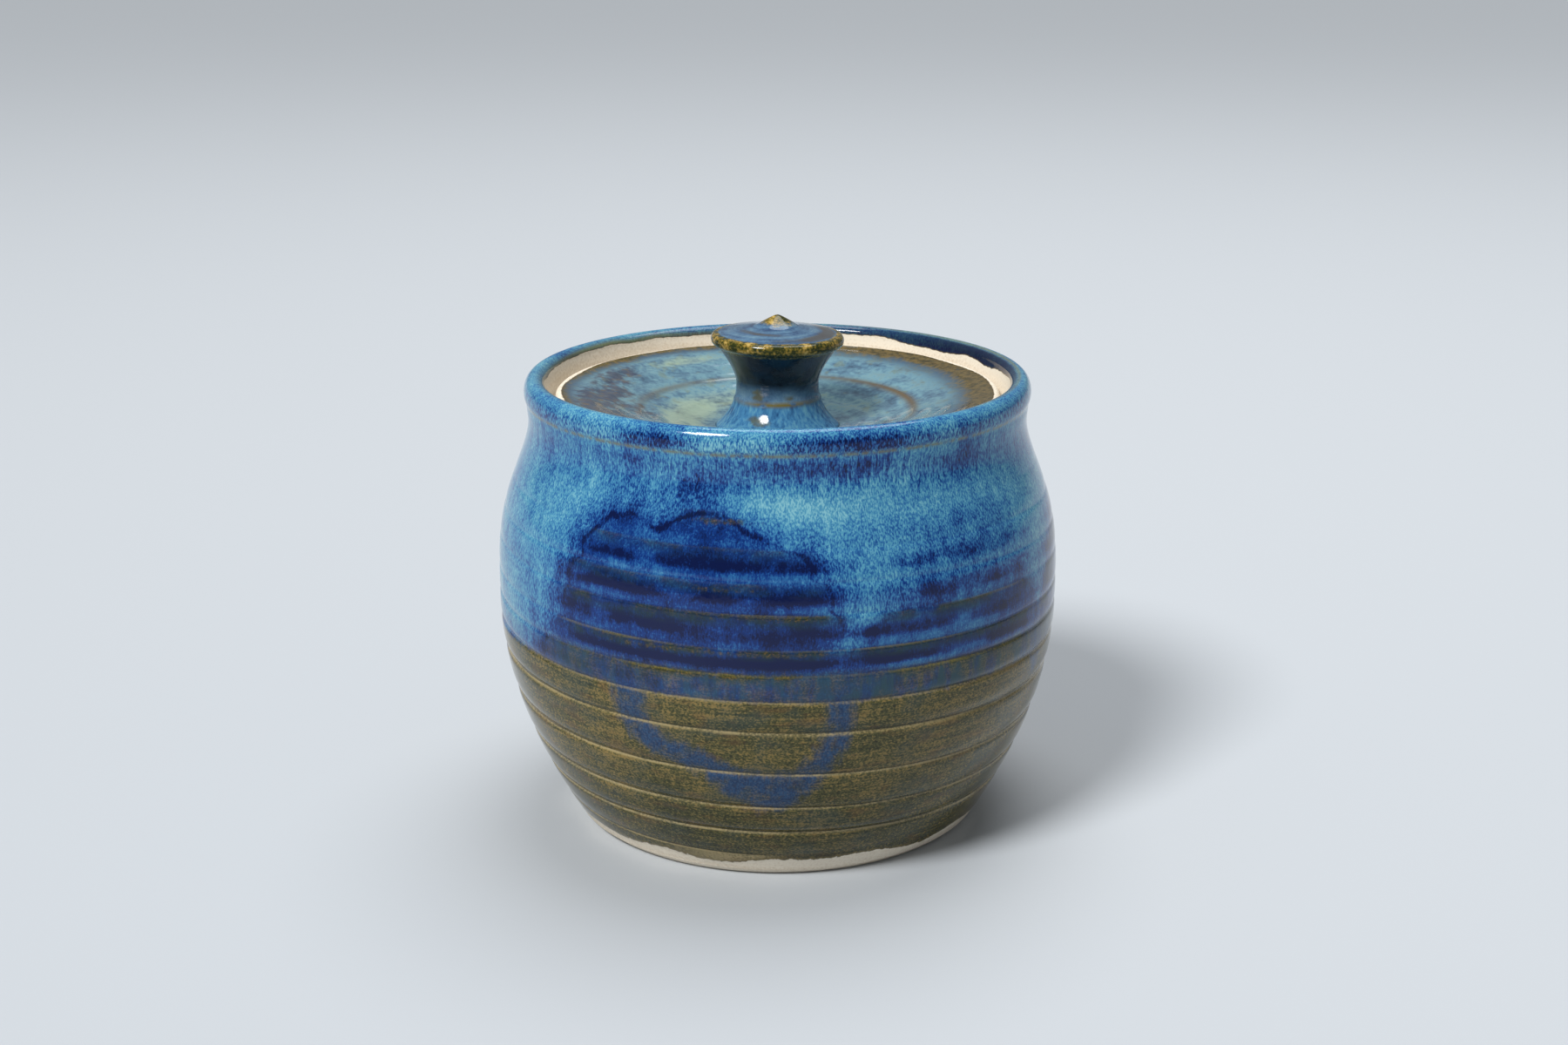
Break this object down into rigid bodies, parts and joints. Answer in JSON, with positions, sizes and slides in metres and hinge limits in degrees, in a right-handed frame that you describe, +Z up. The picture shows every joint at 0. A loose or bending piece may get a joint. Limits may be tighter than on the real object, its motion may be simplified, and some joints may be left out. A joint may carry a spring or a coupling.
{
  "type": "lidded jar",
  "caption": "Wheel-thrown stoneware jar with a round ringed belly and a rolled rim; a dished drop-in lid with a waisted knob rests on a ledge inside the rim and lifts off.",
  "frame": {"origin": "centre of the foot, on the surface that the jar stands on", "axes": "+Z up along the axis of the jar, -Y towards the viewer of the picture, +X to the viewer's right"},
  "size_m": [0.14, 0.14, 0.126],
  "materials": {
    "jar_glaze": "glossy running blue glaze over olive brown, bare cream clay on the gallery and foot",
    "lid_glaze": "glossy mottled blue-green glaze, bare cream clay on the edge and seat",
    "knob_glaze": "glossy blue glaze breaking to gold brown on the edges"
  },
  "bodies": {
    "jar": {"jar_body": "jar_glaze"},
    "lid": {"lid": "lid_glaze", "lid_knob": "knob_glaze"}
  },
  "joints": [
    {"name": "lid_lift", "type": "slide", "parent": "jar", "child": "lid", "axis": [0, 0, 1], "range_m": [0, 0.06]}
  ]
}
